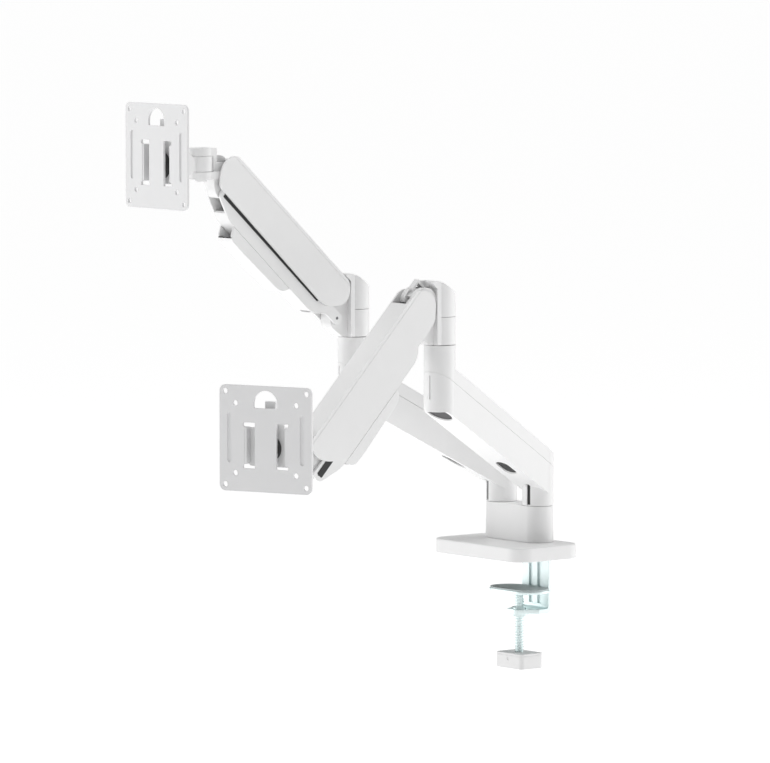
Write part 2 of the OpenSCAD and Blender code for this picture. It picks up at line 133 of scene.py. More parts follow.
def sheet_metal(name, outline, depth):
    """A flat outline of (x, y, corner radius) in mm, drawn in XY and thickened along Z about 0."""
    select_none()
    bpy.ops.mesh.primitive_circle_add(vertices=len(outline), radius=0.5, fill_type="NGON")
    obj = bpy.context.object
    obj.name = name
    bpy.ops.object.mode_set(mode="EDIT")
    mesh = bmesh.from_edit_mesh(obj.data)
    mesh.verts.ensure_lookup_table()
    moves = [Vector((x * MM, y * MM, 0)) - v.co for v, (x, y, _) in zip(mesh.verts, outline)]
    for i, move in enumerate(moves):
        pick(obj, lambda v: v.index == i)
        bpy.ops.transform.translate(value=move)
    for radius in sorted({r for _, _, r in outline if r > 0}):
        spots = [Vector((x * MM, y * MM, 0)) for x, y, r in outline if r == radius]
        pick(obj, lambda v: any((v.co - s).length < 1e-5 for s in spots))
        steps = 3 if radius < 3 else 8
        bpy.ops.mesh.bevel(offset=radius * MM, offset_type="OFFSET", segments=steps,
                           affect="VERTICES", clamp_overlap=True)
    bpy.ops.mesh.select_all(action="SELECT")
    bpy.ops.mesh.extrude_region_move(TRANSFORM_OT_translate={"value": (0, 0, depth * MM)})
    bpy.ops.mesh.select_all(action="SELECT")
    bpy.ops.transform.translate(value=(0, 0, -depth * MM / 2))
    bpy.ops.mesh.normals_make_consistent(inside=False)
    bpy.ops.object.mode_set(mode="OBJECT")
    return obj


ON_SIDE = Matrix(((1, 0, 0, 0), (0, 0, -1, 0), (0, 1, 0, 0), (0, 0, 0, 1)))
ON_FACE = Matrix(((0, 0, 1, 0), (1, 0, 0, 0), (0, 1, 0, 0), (0, 0, 0, 1)))


def lay(obj, matrix):
    """Puts a piece in its place and leaves its object at the origin."""
    take(obj)
    obj.matrix_world = matrix @ obj.matrix_world
    bpy.ops.object.transform_apply(location=True, rotation=True, scale=True)
    return obj


def upright(name, outline, width, y=0):
    """An XZ outline, width mm wide about y."""
    obj = lay(sheet_metal(name, outline, width), ON_SIDE)
    return lay(obj, Matrix.Translation((0, y * MM, 0)))


def facing(name, outline, thickness, x=0):
    """A YZ outline, its middle at x."""
    obj = lay(sheet_metal(name, outline, thickness), ON_FACE)
    return lay(obj, Matrix.Translation((x * MM, 0, 0)))


def box(name, low, high):
    size = [(b - a) * MM for a, b in zip(low, high)]
    middle = [(b + a) * MM / 2 for a, b in zip(low, high)]
    select_none()
    bpy.ops.mesh.primitive_cube_add(size=1, location=middle)
    obj = bpy.context.object
    obj.name = name
    obj.scale = size
    bpy.ops.object.transform_apply(location=True, rotation=True, scale=True)
    return obj


TURNS = {"z": (0, 0, 0), "y": (math.pi / 2, 0, 0), "x": (0, math.pi / 2, 0)}


def drum(name, radius, length, at, along="z", sides=64):
    """A cylinder in mm with the middle of its length at the place given."""
    select_none()
    bpy.ops.mesh.primitive_cylinder_add(vertices=sides, radius=radius * MM, depth=length * MM,
                                        location=[c * MM for c in at], rotation=TURNS[along])
    obj = bpy.context.object
    obj.name = name
    bpy.ops.object.transform_apply(location=True, rotation=True, scale=True)
    return obj


def combine(obj, other, how):
    take(obj)
    step = obj.modifiers.new(how, "BOOLEAN")
    step.operation = how
    step.solver = "EXACT"
    step.object = other
    bpy.ops.object.modifier_apply(modifier=step.name)
    bpy.data.objects.remove(other)
    return obj


def add(obj, *others):
    for other in others:
        combine(obj, other, "UNION")
    return obj


def cut(obj, *others):
    for other in others:
        combine(obj, other, "DIFFERENCE")
    return obj


def slice_off(obj, point, normal):
    """Cuts away what lies beyond a plane, on the side that its normal points to, and closes it."""
    take(obj)
    bpy.ops.object.mode_set(mode="EDIT")
    bpy.ops.mesh.select_all(action="SELECT")
    bpy.ops.mesh.bisect(plane_co=[c * MM for c in point], plane_no=normal, use_fill=True,
                        clear_outer=True)
    bpy.ops.object.mode_set(mode="OBJECT")
    return obj


def soften(obj, width, steps=3, angle=32):
    take(obj)
    edge = obj.modifiers.new("edge", "BEVEL")
    edge.width = width * MM
    edge.segments = steps
    edge.limit_method = "ANGLE"
    edge.angle_limit = math.radians(angle)
    edge.use_clamp_overlap = True
    bpy.ops.object.modifier_apply(modifier=edge.name)
    return obj


def finish(obj, name, matrix, body, nodes, material):
    """Lays a piece in place, gives it its finish and hands it to its moving body."""
    take(obj)
    bpy.ops.object.mode_set(mode="EDIT")
    bpy.ops.mesh.select_all(action="SELECT")
    bpy.ops.mesh.remove_doubles(threshold=2e-6)
    bpy.ops.object.mode_set(mode="OBJECT")
    if matrix is not None:
        lay(obj, matrix)
    take(obj)
    bpy.ops.object.shade_smooth_by_angle(angle=math.radians(35))
    even = obj.modifiers.new("even", "WEIGHTED_NORMAL")
    even.keep_sharp = True
    even.weight = 90
    bpy.ops.object.modifier_apply(modifier=even.name)
    obj.name = name
    obj.data.materials.clear()
    obj.data.materials.append(material)
    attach(obj, body)
    if nodes:
        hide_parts(*nodes)
    return obj


# ---------------------------------------------------------------- shader tools
class Value:
    """A shader value: Python arithmetic on it adds Math nodes."""

    def __init__(self, paint, socket):
        self.paint, self.socket = paint, socket

    def _math(self, operation, a, b):
        return self.paint.node("ShaderNodeMath", {"operation": operation}, {0: a, 1: b})

    def __add__(self, other):
        return self._math("ADD", self, other)

    __radd__ = __add__

    def __mul__(self, other):
        return self._math("MULTIPLY", self, other)

    __rmul__ = __mul__

    def __sub__(self, other):
        return self._math("SUBTRACT", self, other)

    def __rsub__(self, other):
        return self._math("SUBTRACT", other, self)


class Paint:
    """A material under construction."""

    def __init__(self, name):
        self.material = bpy.data.materials.new(name)
        self.material.use_nodes = True
        self.tree = self.material.node_tree
        self.tree.nodes.clear()
        self.place = self.node("ShaderNodeTexCoord", {}, {}, "Object")

    def node(self, kind, settings, inputs, output=0):
        made = self.tree.nodes.new(kind)
        for key, value in settings.items():
            setattr(made, key, value)
        for key, value in inputs.items():
            if isinstance(value, Value):
                self.tree.links.new(value.socket, made.inputs[key])
            elif value is not None:
                made.inputs[key].default_value = value
        return Value(self, made.outputs[output])

    def noise(self, scale, detail=3.0):
        return self.node("ShaderNodeTexNoise", {}, {"Vector": self.place, "Scale": scale,
                                                    "Detail": detail}, "Fac")

    def blend(self, amount, a, b):
        made = self.tree.nodes.new("ShaderNodeMix")
        made.data_type = "RGBA"
        self.tree.links.new(amount.socket, made.inputs[0])
        made.inputs[6].default_value = (*a, 1)
        made.inputs[7].default_value = (*b, 1)
        return Value(self, made.outputs[2])

    def done(self, colour, rough, metallic=0.0, coat=0.0, bump=None, strength=0.1, depth=0.0002,
             glow=0.0):
        normal = None
        if bump is not None:
            normal = self.node("ShaderNodeBump", {}, {"Height": bump, "Strength": strength,
                                                      "Distance": depth})
        if not isinstance(colour, Value):
            colour = (*colour, 1)
        shade = self.node("ShaderNodeBsdfPrincipled", {}, {
            "Base Color": colour, "Roughness": rough, "Metallic": metallic,
            "Coat Weight": coat, "Coat Roughness": 0.25, "Normal": normal,
            "Emission Color": (1, 1, 1, 1), "Emission Strength": glow})
        out = self.tree.nodes.new("ShaderNodeOutputMaterial")
        self.tree.links.new(shade.socket, out.inputs["Surface"])
        return self.material


def shade_of(colour, factor):
    return tuple(min(1.0, c * factor) for c in colour)


def painted(name, colour, rough, grain=1400, spread=0.03, strength=0.05):
    """Powder coat or moulded plastic: faint mottle, fine even grain."""
    paint = Paint(name)
    mottle = paint.noise(35, 4)
    fine = paint.noise(grain, 2)
    tone = paint.blend(mottle, shade_of(colour, 1 - spread), shade_of(colour, 1 + spread / 2))
    return paint.done(tone, rough + 0.08 * (fine - 0.5) + 0.06 * (mottle - 0.5), bump=fine,
                      strength=strength, coat=0.05)


def metal(name, colour, rough, spread=0.08):
    """Zinc-plated or machined steel with a faint drawn grain."""
    paint = Paint(name)
    cloud = paint.noise(60, 4)
    grain = paint.noise(900, 3)
    tone = paint.blend(cloud, shade_of(colour, 1 - spread), colour)
    return paint.done(tone, rough + 0.15 * (grain - 0.5), metallic=0.85, bump=grain, strength=0.06)


FINISH = {}


def mix_finishes(look):
    white = tuple(look.white)[:3]
    FINISH.update({
        "white_paint": painted("white_paint", white, look.paint_rough),
        "white_plastic": painted("white_plastic", shade_of(white, 1.01), look.paint_rough + 0.06,
                                 grain=900, strength=0.08),
        "grey_paint": painted("grey_paint", tuple(look.grey)[:3], look.paint_rough + 0.05),
        "clamp_steel": metal("clamp_steel", tuple(look.steel)[:3], 0.42),
        "dark_steel": metal("dark_steel", (0.16, 0.165, 0.17), 0.4),
        "black_plastic": painted("black_plastic", (0.012, 0.012, 0.013), 0.5, spread=0.2),
        "black_paint": painted("black_paint", (0.01, 0.01, 0.011), 0.3, spread=0.2),
        "rubber_pad": painted("rubber_pad", (0.03, 0.03, 0.031), 0.75, grain=600, spread=0.15,
                              strength=0.3),
        "pale_rubber": painted("pale_rubber", (0.55, 0.62, 0.62), 0.6, grain=600, strength=0.2),
    })


# ---------------------------------------------------------------- sizes and colours
class BaseSizes(bpy.types.PropertyGroup):
    corner: bpy.props.FloatProperty(name="Plate corner", description="Corner radius, mm",
                                    default=20, min=8, max=30)
    edge: bpy.props.FloatProperty(name="Plate edge", description="Rounding of the top edge, mm",
                                  default=2.2, min=0.5, max=5)
    thread: bpy.props.FloatProperty(name="Thread", description="Rise of the screw a turn, mm",
                                    default=3, min=1, max=4)


class ArmSizes(bpy.types.PropertyGroup):
    barrel: bpy.props.FloatProperty(name="Barrel", description="Radius of the upright barrels, mm",
                                    default=17.5, min=14, max=24)
    half: bpy.props.FloatProperty(name="Half width", description="Half width of a housing, mm",
                                  default=15.5, min=12, max=20)
    edge: bpy.props.FloatProperty(name="Edge", description="Rounding of the moulded edges, mm",
                                  default=1.2, min=0.3, max=3)
    hole: bpy.props.FloatProperty(name="Screen hole", description="Diameter, mm",
                                  default=5.8, min=4.4, max=6)


class Look(bpy.types.PropertyGroup):
    white: bpy.props.FloatVectorProperty(name="White", description="Paint and mouldings",
                                         subtype="COLOR", size=3, default=(0.8, 0.8, 0.8))
    grey: bpy.props.FloatVectorProperty(name="Plates", description="Screen plates",
                                        subtype="COLOR", size=3, default=(0.74, 0.74, 0.745))
    steel: bpy.props.FloatVectorProperty(name="Clamp", description="Clamp steel",
                                         subtype="COLOR", size=3, default=(0.8, 0.9, 0.9))
    paint_rough: bpy.props.FloatProperty(name="Sheen", description="Roughness of the paint",
                                         default=0.42, min=0.1, max=0.9)
    lamp: bpy.props.FloatProperty(name="Lamps", description="Strength of the studio lamps",
                                  default=1.0, min=0.1, max=4)


# ---------------------------------------------------------------- base and clamp
class ARM_OT_base(bpy.types.Operator):
    """Base plate and post cover"""
    bl_idname = "monitor_arm.base"
    bl_label = "Base"

    def execute(self, context):
        sizes = context.scene.arm_base
        low, high = (Vector(c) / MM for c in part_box("base_plate"))
        corner = sizes.corner
        plate = sheet_metal("base_plate_cast", [
            (low.x, low.y, corner), (high.x, low.y, corner), (high.x, high.y, corner),
            (low.x, high.y, corner)], high.z - low.z)
        lay(plate, Matrix.Translation((0, 0, (high.z + low.z) / 2 * MM)))
        take(plate)
        bpy.ops.object.mode_set(mode="EDIT")
        pick(plate, lambda e: all(v.co.z > (high.z - 0.1) * MM for v in e.verts)
             and len(e.link_faces) == 2
             and any(abs(f.normal.z) < 0.5 for f in e.link_faces), "edges")
        bpy.ops.mesh.bevel(offset=sizes.edge * MM, segments=5, affect="EDGES")
        pick(plate, lambda e: all(v.co.z < (low.z + 0.1) * MM for v in e.verts)
             and any(abs(f.normal.z) < 0.5 for f in e.link_faces), "edges")
        bpy.ops.mesh.bevel(offset=0.8 * MM, segments=2, affect="EDGES")
        bpy.ops.object.mode_set(mode="OBJECT")
        strap_low, strap_high = (Vector(c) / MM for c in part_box("clamp_bracket"))
        cut(plate, box("strap_seat", (strap_low.x - 0.2, strap_low.y + 3, -1),
                       (strap_high.x + 0.2, high.y + 1, strap_high.z + 0.2)))
        finish(plate, "base_plate_cast", None, "base", ["base_plate"], FINISH["white_paint"])

        low, high = (Vector(c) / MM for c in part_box("post_cover"))
        radius = (high.y - low.y) / 2
        y = (high.y + low.y) / 2
        cover = drum("post_cover_moulded", radius, high.z - low.z, (0, y, (high.z + low.z) / 2),
                     sides=96)
        take(cover)
        bpy.ops.object.mode_set(mode="EDIT")
        bpy.ops.mesh.select_all(action="SELECT")
        bpy.ops.mesh.bisect(plane_co=(0, 0, 0), plane_no=(1, 0, 0))
        for sign in (-1, 1):
            pick(cover, lambda v: v.co.x * sign > 1e-6)
            bpy.ops.transform.translate(value=(sign * (high.x - radius) * MM, 0, 0))
        pick(cover, lambda v: v.co.z > (high.z - 1) * MM)
        bpy.ops.transform.resize(value=(0.987, 0.97, 1), center_override=(0, y * MM, high.z * MM))
        bpy.ops.object.mode_set(mode="OBJECT")
        soften(cover, 0.9, 3, 40)
        finish(cover, "post_cover_moulded", None, "base", ["post_cover"],
               FINISH["white_plastic"])
        return {"FINISHED"}


class ARM_OT_clamp(bpy.types.Operator):
    """Clamp bracket, pad, threaded screw and handle"""
    bl_idname = "monitor_arm.clamp"
    bl_label = "Clamp"

    def execute(self, context):
        sizes = context.scene.arm_base
        steel = FINISH["clamp_steel"]
        low, high = (Vector(c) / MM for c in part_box("clamp_bracket"))
        screw_low, screw_high = (Vector(c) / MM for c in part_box("clamp_screw"))
        y = (screw_low.y + screw_high.y) / 2
        radius = (screw_high.x - screw_low.x) / 2
        half = high.x
        back = high.y
        thick = 4
        strip = upright("clamp_bracket_pressed", [
            (back - 22 - thick, high.z, 0.5), (back, high.z, 3.2), (back, low.z, 6),
            (low.y, low.z, 0.8), (low.y, low.z + 5, 0.8), (back - thick, low.z + 5, 3),
            (back - thick, high.z - thick, 1.2), (back - 22 - thick, high.z - thick, 0.5)],
            2 * half)
        lay(strip, Matrix.Rotation(math.pi / 2, 4, "Z"))
        lip = sheet_metal("lip_trim", [
            (-half - 1, y - 20, 0), (half + 1, y - 20, 0), (half + 1, y + 11, 0), (14.2, y - 1, 0),
            (12.6, y - 6.2, 2), (7.2, y - 12, 3), (-7.2, y - 12, 3), (-12.6, y - 6.2, 2),
            (-14.2, y - 1, 0), (-half - 1, y + 11, 0)], 9)
        lay(lip, Matrix.Translation((0, 0, (low.z + 2.5) * MM)))
        cut(strip, lip, drum("nut_seat", 7.5, 20, (0, y, low.z)))
        for x in (-10.5, 4.0):
            channel = box("channel", (x, back - 1.5, low.z + 10), (x + 6.5, back + 3, -6))
            cut(strip, channel)
            inner = box("channel", (x, back - thick - 3, low.z + 10),
                        (x + 6.5, back - thick + 2.0, -6))
            cut(strip, inner)
        soften(strip, 0.5, 2, 40)
        finish(strip, "clamp_bracket_pressed", None, "base", ["clamp_bracket"], steel)

        low, high = (Vector(c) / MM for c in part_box("clamp_pad"))
        depth = (high.y - low.y) / 2
        pad = sheet_metal("clamp_pad_pressed", [
            (low.x, y - depth, depth - 0.4), (high.x, y - depth, depth - 0.4),
            (high.x, y + depth, depth - 0.4), (low.x, y + depth, depth - 0.4)], 3)
        lay(pad, Matrix.Translation((0, 0, (high.z - 1.5) * MM)))
        rim = drum("rib", 10.5, 1.6, (0, y, high.z - 3.4))
        hub = drum("hub", 9, high.z - low.z - 1.5, (0, y, (high.z + low.z - 1.5) / 2))
        add(pad, rim, hub)
        cut(pad, drum("seat", radius + 0.1, 4.6, (0, y, low.z + 1.2)))
        soften(pad, 0.7, 3, 40)
        finish(pad, "clamp_pad_pressed", None, "clamp_pad", ["clamp_pad"], steel)

        pitch = sizes.thread
        turns = int((screw_high.z - screw_low.z - 14) / pitch)
        core = radius - 0.75
        select_none()
        bpy.ops.mesh.primitive_plane_add(size=1)
        ridge = bpy.context.object
        bpy.ops.object.mode_set(mode="EDIT")
        start = screw_low.z + 9
        spots = [(core - 0.5, -1.2), (core - 0.5, 1.2), (radius, 0.35), (radius, -0.35)]
        mesh = bmesh.from_edit_mesh(ridge.data)
        mesh.verts.ensure_lookup_table()
        order = [mesh.verts[i].co.copy() for i in (0, 1, 3, 2)]
        for old, (x, z) in zip(order, spots):
            pick(ridge, lambda v: (v.co - old).length < 1e-6)
            bpy.ops.transform.translate(value=Vector((x * MM, 10, (start + z) * MM)) - old)
        bpy.ops.mesh.select_all(action="SELECT")
        bpy.ops.transform.translate(value=(0, -10, 0))
        steps = 28
        bpy.ops.mesh.spin(steps=steps * turns, dupli=False, angle=-2 * math.pi * turns,
                          center=(0, 0, 0), axis=(0, 0, 1))
        bpy.ops.object.mode_set(mode="OBJECT")
        rise = pitch * MM / steps
        for i, v in enumerate(ridge.data.vertices):
            v.co.z += rise * (i // 4)
        lay(ridge, Matrix.Translation((0, y * MM, 0)))
        take(ridge)
        bpy.ops.object.mode_set(mode="EDIT")
        bpy.ops.mesh.select_all(action="SELECT")
        bpy.ops.mesh.normals_make_consistent(inside=False)
        bpy.ops.object.mode_set(mode="OBJECT")
        middle = (screw_high.z + screw_low.z) / 2 - 2.5
        rod = drum("rod", core, screw_high.z - screw_low.z - 5, (0, y, middle), sides=48)
        soften(rod, 0.5, 2, 60)
        take(ridge)
        rod.select_set(True)
        bpy.context.view_layer.objects.active = rod
        bpy.ops.object.join()
        tip = drum("tip", 3.2, 6, (0, y, screw_high.z - 3), sides=32)
        take(tip)
        rod.select_set(True)
        bpy.context.view_layer.objects.active = rod
        bpy.ops.object.join()
        finish(rod, "clamp_screw_threaded", None, "clamp_screw", ["clamp_screw"], steel)

        low, high = (Vector(c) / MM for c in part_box("clamp_handle"))
        grip = sheet_metal("clamp_handle_moulded", [
            (low.x, low.y, 5), (high.x, low.y, 5), (high.x, high.y, 5), (low.x, high.y, 5)],
            high.z - low.z)
        lay(grip, Matrix.Translation((0, 0, (high.z + low.z) / 2 * MM)))
        cut(grip, drum("bore", radius + 0.1, 12, (0, y, high.z - 4)))
        take(grip)
        bpy.ops.object.mode_set(mode="EDIT")
        pick(grip, lambda f: f.normal.z < -0.9, "faces")
        bpy.ops.mesh.inset(thickness=2.6 * MM)
        bpy.ops.mesh.extrude_region_move(TRANSFORM_OT_translate={"value": (0, 0, 4 * MM)})
        bpy.ops.object.mode_set(mode="OBJECT")
        for sign in (-1, 1):
            cut(grip, drum("pin_hole", 2.1, 12, (0, y + sign * 14.5, high.z - 6), "y", 24))
        cut(grip, box("line", (low.x - 1, low.y - 1, high.z - 2.6),
                      (high.x + 1, low.y + 0.35, high.z - 2.1)),
            box("line", (high.x - 0.35, low.y - 1, high.z - 2.6),
                (high.x + 1, high.y + 1, high.z - 2.1)))
        soften(grip, 0.6, 3, 50)
        finish(grip, "clamp_handle_moulded", None, "clamp_screw", ["clamp_handle"],
               FINISH["white_plastic"])
        return {"FINISHED"}


# ---------------------------------------------------------------- lower arms and elbows
RISE = 0.575            # slope of the lower arm
TOP_AT_POST = 120.3     # its top line's height at the post, mm
FOOT_AT_POST = 70.0     # its underside's height at the post, mm
FOOT_RISE = 0.555
SEAM_DROP = 16          # cover seam below the top line, mm
COVER_Z = 57            # height of the post cover, mm
ELBOW_Z = joint_at("r_elbow_yaw").z / MM


class ARM_OT_lower_arms(bpy.types.Operator):
    """Lower arm castings and their top covers"""
    bl_idname = "monitor_arm.lower_arms"
    bl_label = "Lower arms"

    def execute(self, context):
        sizes = context.scene.arm_sizes
        r = sizes.barrel
        for side in "rl":
            places = arm_frames(side)
            reach = places["reach"]

            def beam(name):
                body = drum(name, r, 300, (0, 0, 150), sides=96)
                add(body, drum("elbow_end", r, 300, (reach, 0, 150), sides=96),
                    box("web", (0, -r + 0.2, 0), (reach, r - 0.2, 300)))
                slice_off(body, (0, 0, TOP_AT_POST), (-RISE, 0, 1))
                slice_off(body, (0, 0, FOOT_AT_POST), (FOOT_RISE, 0, -1))
                return body

            seam = TOP_AT_POST - SEAM_DROP
            casting = beam("casting")
            slice_off(casting, (0, 0, seam), (-RISE, 0, 1))
            foot_at_elbow = FOOT_AT_POST + FOOT_RISE * reach
            low_z = COVER_Z + 0.4
            neck = drum("neck", r, 42, (0, 0, low_z + 21), sides=96)
            slice_off(neck, (0, 0, seam), (-RISE, 0, 1))
            column = drum("column", r, ELBOW_Z - 0.4 - foot_at_elbow - 4,
                          (reach, 0, (ELBOW_Z - 0.4 + foot_at_elbow + 4) / 2), sides=96)
            add(casting, neck, column)
            # openings below: cable hole, post bore, elbow bore
            hole = sheet_metal("cable_hole", [(45, -8, 7.8), (73, -8, 7.8), (73, 8, 7.8),
                                              (45, 8, 7.8)], 60)
            lay(hole, Matrix.Translation((0, 0, 82 * MM)))
            cut(casting, hole, drum("post_bore", 11, 52, (0, 0, 60)),
                drum("elbow_bore", 14, 60, (reach, 0, 176)),
                drum("shaft_bore", 9, 120, (reach, 0, 210)))
            # drain slot on the barrel's front and the shadow line round its neck
            slot_low = ELBOW_Z - 59 if side == "r" else ELBOW_Z - 44
            cut(casting, box("slot", (reach + r - 1.4, -1.0, slot_low),
                             (reach + r + 3, 1.0, ELBOW_Z - 33)))
            cut(casting, box("cable_slot", (12, -2.3, low_z + 1.2), (21, 2.3, 92)))
            seam_cut = drum("seam_cut", r + 2, 200, (reach, 0, 200), sides=96)
            slice_off(seam_cut, (0, 0, seam + 0.35), (-RISE, 0, 1))
            slice_off(seam_cut, (0, 0, seam), (RISE, 0, -1))
            cut(seam_cut, drum("inside", r - 0.45, 400, (reach, 0, 200), sides=96))
            cut(casting, seam_cut)
            soften(casting, sizes.edge, 3, 34)
            finish(casting, f"{side}_lower_arm_cast", places["post"], f"{side}_lower",
                   [f"{side}_lower_arm"], FINISH["white_paint"])

            lining = sheet_metal("lining", [(45.2, -7.8, 7.6), (72.8, -7.8, 7.6),
                                            (72.8, 7.8, 7.6), (45.2, 7.8, 7.6)], 60)
            lay(lining, Matrix.Translation((0, 0, 100 * MM)))
            slice_off(lining, (0, 0, FOOT_AT_POST + 1.6), (FOOT_RISE, 0, -1))
            slice_off(lining, (0, 0, FOOT_AT_POST + 5), (-FOOT_RISE, 0, 1))
            soften(lining, 0.4, 2)
            strip = box("strip", (14.6, -2.2, low_z + 1.3), (16, 2.2, 84))
            soften(strip, 0.3, 2)
            take(strip)
            lining.select_set(True)
            bpy.context.view_layer.objects.active = lining
            bpy.ops.object.join()
            finish(lining, f"{side}_cable_lining", places["post"], f"{side}_lower", [],
                   FINISH["black_plastic"])

            cover = beam("cover")
            slice_off(cover, (0, 0, seam + 0.35), (RISE, 0, -1))
            slice_off(cover, (reach - 2.6, 0, 0), (1, 0, 0))
            cut(cover, drum("barrel", r - 0.05, 400, (reach, 0, 150), sides=96))
            soften(cover, sizes.edge + 0.6, 4, 34)
            finish(cover, f"{side}_lower_cover_moulded", places["post"], f"{side}_lower",
                   [f"{side}_lower_cover"], FINISH["white_plastic"])
        return {"FINISHED"}


class ARM_OT_elbows(bpy.types.Operator):
    """Elbow brackets and their rear covers"""
    bl_idname = "monitor_arm.elbows"
    bl_label = "Elbows"

    def execute(self, context):
        sizes = context.scene.arm_sizes
        r, half = sizes.barrel, sizes.half
        for side in "rl":
            places = arm_frames(side)
            pivot = places["elbow"].inverted() @ joint_at(f"{side}_lift") / MM
            pair = places["elbow"].inverted() @ joint_at(f"{side}_link_swing") / MM
            bracket = drum("bracket", r, 30, (0, 0, 15.4), sides=96)
            flange = facing("flange", [(-half, 0.4, 0.8), (half, 0.4, 0.8), (half, 70, 3),
                                       (-half, 70, 3)], 5.7, 12.85)
            core = upright("core", [(0, 0.4, 0), (22, 0.4, 2), (38, 12, 4), (40, 20, 4),
                                    (39, pivot.z, 0), (0, pivot.z, 0)], 17)
            knee = drum("knee", 15.8, 24.8, pivot, "y", 96)
            slice_off(knee, pivot, (0, 0, -1))
            roof = upright("roof", [(15, 62.5, 0), (15.7, 62.5, 0), (21.4, 67.3, 1),
                                    (24.3, 70, 0), (15, 70, 0)], 2 * half)
            add(bracket, core, flange, knee, roof)
            slot = upright("rod_slot", [
                (17, pivot.z + 4.6, 0), (32, pivot.z + 4.6, 0), (33.8, pivot.z - 0.6, 0),
                (41, pivot.z - 9.4, 0), (60, pivot.z - 9.4, 0), (60, 90, 0), (17, 90, 0)], 8.8)
            cut(bracket, slot, drum("upper_bore", 4, 40, pivot, "y", 40),
                drum("lower_bore", 3.5, 40, pair, "y", 40))
            soften(bracket, 0.6, 2, 40)
            finish(bracket, f"{side}_elbow_bracket_cast", places["elbow"], f"{side}_elbow",
                   [f"{side}_elbow_bracket"], FINISH["white_paint"])
            cover = drum("cover", r, 38, (0, 0, 49.7), sides=96)
            slice_off(cover, (9.8, 0, 0), (1, 0, 0))
            slice_off(cover, (4, 0, 66.5), (-0.66, 0, 1))
            soften(cover, 2.4, 5, 34)
            finish(cover, f"{side}_elbow_cover_moulded", places["elbow"], f"{side}_elbow",
                   [f"{side}_elbow_cover"], FINISH["white_plastic"])
        return {"FINISHED"}


# ---------------------------------------------------------------- upper arms
class ARM_OT_upper_arms(bpy.types.Operator):
    """Upper arm housings, lower links and cable covers"""
    bl_idname = "monitor_arm.upper_arms"
    bl_label = "Upper arms"

    def execute(self, context):
        sizes = context.scene.arm_sizes
        half = sizes.half
        wall = 2.5
        for side in "rl":
            places = arm_frames(side)
            span = places["link_length"]
            shell = upright("housing", [
                (-10, 9.5, 8), (0, 19, 6), (span + 3, 19, 6), (span + 11, 8, 8), (span + 9, -8, 9),
                (span - 3, -22, 7), (16, -24, 5), (7, -22, 7), (-12, -6, 9)], 2 * half)
            take(shell)
            bpy.ops.object.mode_set(mode="EDIT")
            pick(shell, lambda e: all(v.co.z > 18.5 * MM for v in e.verts)
                 and abs(e.verts[0].co.y - e.verts[1].co.y) < 1e-5
                 and (e.verts[0].co - e.verts[1].co).length > 50 * MM, "edges")
            bpy.ops.mesh.bevel(offset=3.2 * MM, segments=5, affect="EDGES")
            bpy.ops.object.mode_set(mode="OBJECT")
            inner = upright("hollow", [
                (-40, 16.2, 0), (span - 4, 16.2, 0), (span - 4, 40, 0), (span + 40, 40, 0),
                (span + 40, -50, 0), (-40, -50, 0)], 2 * (half - wall))
            mouth = box("mouth", (-40, -half + wall, -50), (18.5, half - wall, 40))
            cut(shell, inner, mouth, *(drum("pin", 4.1, 2 * half - 1.4, (x, 0, 0), "y", 40)
                                       for x in (0, span)))
            for sign in (-1, 1):
                groove = box("groove", (-30, sign * half - 0.35, 15.0),
                             (span + 30, sign * half + 0.35, 15.5))
                cut(shell, groove)
            soften(shell, 0.8, 3, 40)
            finish(shell, f"{side}_upper_arm_moulded", places["upper"], f"{side}_upper",
                   [f"{side}_upper_arm"], FINISH["white_paint"])

            link = upright("link", [
                (-6.5, 6.5, 6), (span + 6.5, 6.5, 6), (span + 6.5, -6.5, 5), (span - 7, -12, 6),
                (span - 25, -19, 8), (34, -19, 8), (24, -14, 6), (16, -6.5, 6), (-6.5, -6.5, 6)],
                24.8)
            gutter = upright("gutter", [
                (-30, 30, 0), (-30, -40, 0), (30, -40, 0), (34, -16.5, 0), (span - 25, -16.5, 0),
                (span - 15, -12, 0), (span - 14, -40, 0), (span + 30, -40, 0), (span + 30, 30, 0)],
                18.6)
            cut(link, gutter, *(drum("pin", r, w, (x, 0, 0), "y", 40) for x in (0, span)
                                for r, w in ((3.6, 23.4), (1.65, 40))))
            soften(link, 0.7, 3, 40)
            finish(link, f"{side}_lower_link_pressed", places["link"], f"{side}_link",
                   [f"{side}_lower_link"], FINISH["white_paint"])
            # A black strip along the gap between housing and link: painted shade standing in for
            # the dark inside of the slit
            seal = upright("seal", [(34, -4.8, 1), (span + 1, -4.8, 1), (span + 1, 3, 1),
                                    (34, 3, 1)], 25.5)
            cut(seal, box("core", (0, -12.3, -20), (span + 20, 12.3, 20)))
            finish(seal, f"{side}_link_seal", places["link"], f"{side}_link", [],
                   FINISH["black_plastic"])

            cover = upright("cable_cover", [
                (72, -19.1, 0), (78, -28, 4), (86, -30.5, 4), (150, -32.5, 6), (172, -32, 6),
                (178, -19.1, 0)], 25)
            trough = upright("trough", [
                (76, -18, 0), (80, -26, 3), (87, -28.3, 3), (150, -30.2, 0), (200, -30.2, 0),
                (200, -18, 0)], 20.4)
            cut(cover, trough)
            soften(cover, 0.8, 3, 34)
            finish(cover, f"{side}_cable_cover_moulded", places["link"], f"{side}_link",
                   [f"{side}_cable_cover"], FINISH["white_plastic"])
        return {"FINISHED"}


